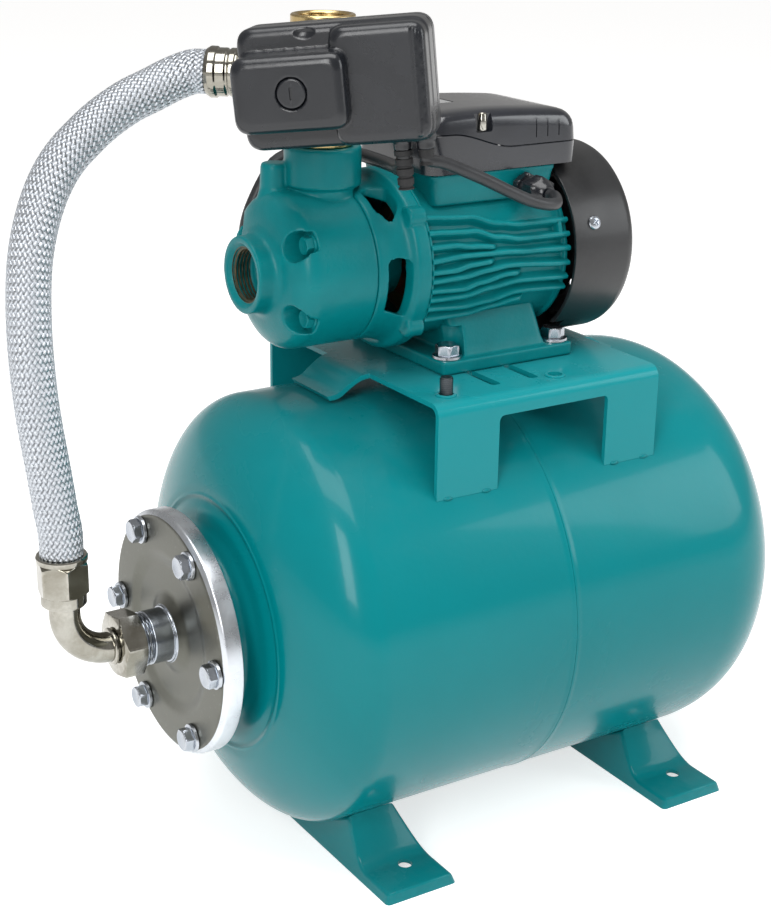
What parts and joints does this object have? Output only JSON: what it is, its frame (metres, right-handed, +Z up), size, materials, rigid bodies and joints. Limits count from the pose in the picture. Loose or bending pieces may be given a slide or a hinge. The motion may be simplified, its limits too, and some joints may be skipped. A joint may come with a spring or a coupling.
{
  "type": "booster pump set",
  "caption": "Booster pump set: finned electric pump on a bracket over a horizontal teal pressure tank, with braided hose, outlet fitting and pressure switch",
  "frame": {"origin": "bottom centre of the set's bounding box without the cords, on the floor", "axes": "X along the tank and the pump shaft with the tank's flange at -X, Y across the tank with the motor's cable gland at -Y, Z up"},
  "size_m": [0.5159, 0.394, 0.5217],
  "materials": {
    "teal_paint": "glossy baked paint over pressed steel",
    "teal_cast_paint": "semi-gloss paint over castings, slightly grainy",
    "zinc_plate": "zinc-plated pressed steel, satin",
    "bright_zinc": "bright zinc-plated fasteners",
    "nickel_plate": "bright nickel-plated fittings",
    "brass": "machined brass, slightly dulled",
    "steel_braid": "woven stainless wire braid",
    "black_plastic": "fine-grained black moulding",
    "black_cable": "black sheathed cable",
    "butyl_rubber": "black butyl rubber",
    "turned_steel": "turned steel",
    "winding": "lacquered copper winding on a core",
    "seal_ceramic": "pale ceramic or moulded insulation",
    "core_iron": "laminated iron core"
  },
  "bodies": {
    "frame": {"bracket_stud": "bright_zinc", "braided_hose": "steel_braid", "brass_fitting": "brass", "cable_gland": "black_plastic", "casing_bolt_1": "teal_cast_paint", "casing_bolt_2": "teal_cast_paint", "casing_bolt_3": "teal_cast_paint", "casing_bolt_4": "teal_cast_paint", "contact_block": "seal_ceramic", "counter_flange": "zinc_plate", "fan_cover": "black_plastic", "fan_cover_screw_1": "bright_zinc", "fan_cover_screw_2": "bright_zinc", "flange_bolt_1": "bright_zinc", "flange_bolt_2": "bright_zinc", "flange_bolt_3": "bright_zinc", "flange_bolt_4": "bright_zinc", "flange_bolt_5": "bright_zinc", "flange_bolt_6": "bright_zinc", "foot_bolt_1": "bright_zinc", "foot_bolt_2": "bright_zinc", "foot_bolt_3": "bright_zinc", "foot_bolt_4": "bright_zinc", "front_bearing": "turned_steel", "front_foot": "teal_paint", "hose_elbow": "nickel_plate", "lower_ferrule": "nickel_plate", "mains_coil": "black_cable", "mains_lead": "black_cable", "mains_plug": "black_cable", "motor_bracket": "teal_cast_paint", "motor_cable": "black_cable", "motor_housing": "teal_cast_paint", "pump_bracket": "teal_paint", "pump_casing": "teal_cast_paint", "range_spring": "turned_steel", "rear_bearing": "turned_steel", "rear_foot": "teal_paint", "rear_shield": "teal_cast_paint", "run_capacitor": "black_plastic", "shaft_seal": "seal_ceramic", "stator": "winding", "switch_base": "black_plastic", "tank_bladder": "butyl_rubber", "tank_front_shell": "teal_paint", "tank_rear_shell": "teal_paint", "terminal_frame": "black_plastic", "upper_ferrule": "nickel_plate", "valve_stem": "brass"},
    "shaft": {"pump_shaft": "turned_steel", "impeller": "brass", "rotor": "core_iron", "cooling_fan": "black_plastic"},
    "swivel_nut_body": {"swivel_nut": "nickel_plate"},
    "hose_nut_body": {"upper_hose_nut": "nickel_plate"},
    "valve_core_body": {"valve_core": "turned_steel"},
    "valve_cap_body": {"valve_cap": "black_plastic"},
    "switch_cover_body": {"switch_cover": "black_plastic"},
    "cover_screw_body": {"cover_screw": "black_plastic"},
    "terminal_lid_body": {"terminal_lid": "black_plastic"}
  },
  "joints": [
    {"name": "shaft_spin", "type": "hinge", "parent": "frame", "child": "shaft", "pos_m": [0.02489, 0, 0.369], "axis": [1, 0, 0], "continuous": true},
    {"name": "swivel_nut_turn", "type": "hinge", "parent": "frame", "child": "swivel_nut_body", "pos_m": [-0.20511, 0, 0.152], "axis": [1, 0, 0], "continuous": true},
    {"name": "hose_nut_turn", "type": "hinge", "parent": "frame", "child": "hose_nut_body", "pos_m": [-0.09025, 0.02025, 0.481], "axis": [-0.766, 0.6428, 0], "continuous": true},
    {"name": "valve_core_press", "type": "slide", "parent": "frame", "child": "valve_core_body", "axis": [-1, 0, 0], "range_m": [0, 0.0012], "stiffness_N_per_m": 200, "springref_m": -0.0005},
    {"name": "valve_cap_off", "type": "slide", "parent": "frame", "child": "valve_cap_body", "axis": [1, 0, 0], "range_m": [0, 0.02]},
    {"name": "switch_cover_off", "type": "slide", "parent": "frame", "child": "switch_cover_body", "axis": [-0.6691, -0.7431, 0], "range_m": [0, 0.045]},
    {"name": "cover_screw_turn", "type": "hinge", "parent": "switch_cover_body", "child": "cover_screw_body", "pos_m": [-0.12299, -0.06317, 0.482], "axis": [-0.6691, -0.7431, 0], "continuous": true},
    {"name": "terminal_lid_off", "type": "slide", "parent": "frame", "child": "terminal_lid_body", "axis": [0, 0, 1], "range_m": [0, 0.03]}
  ]
}
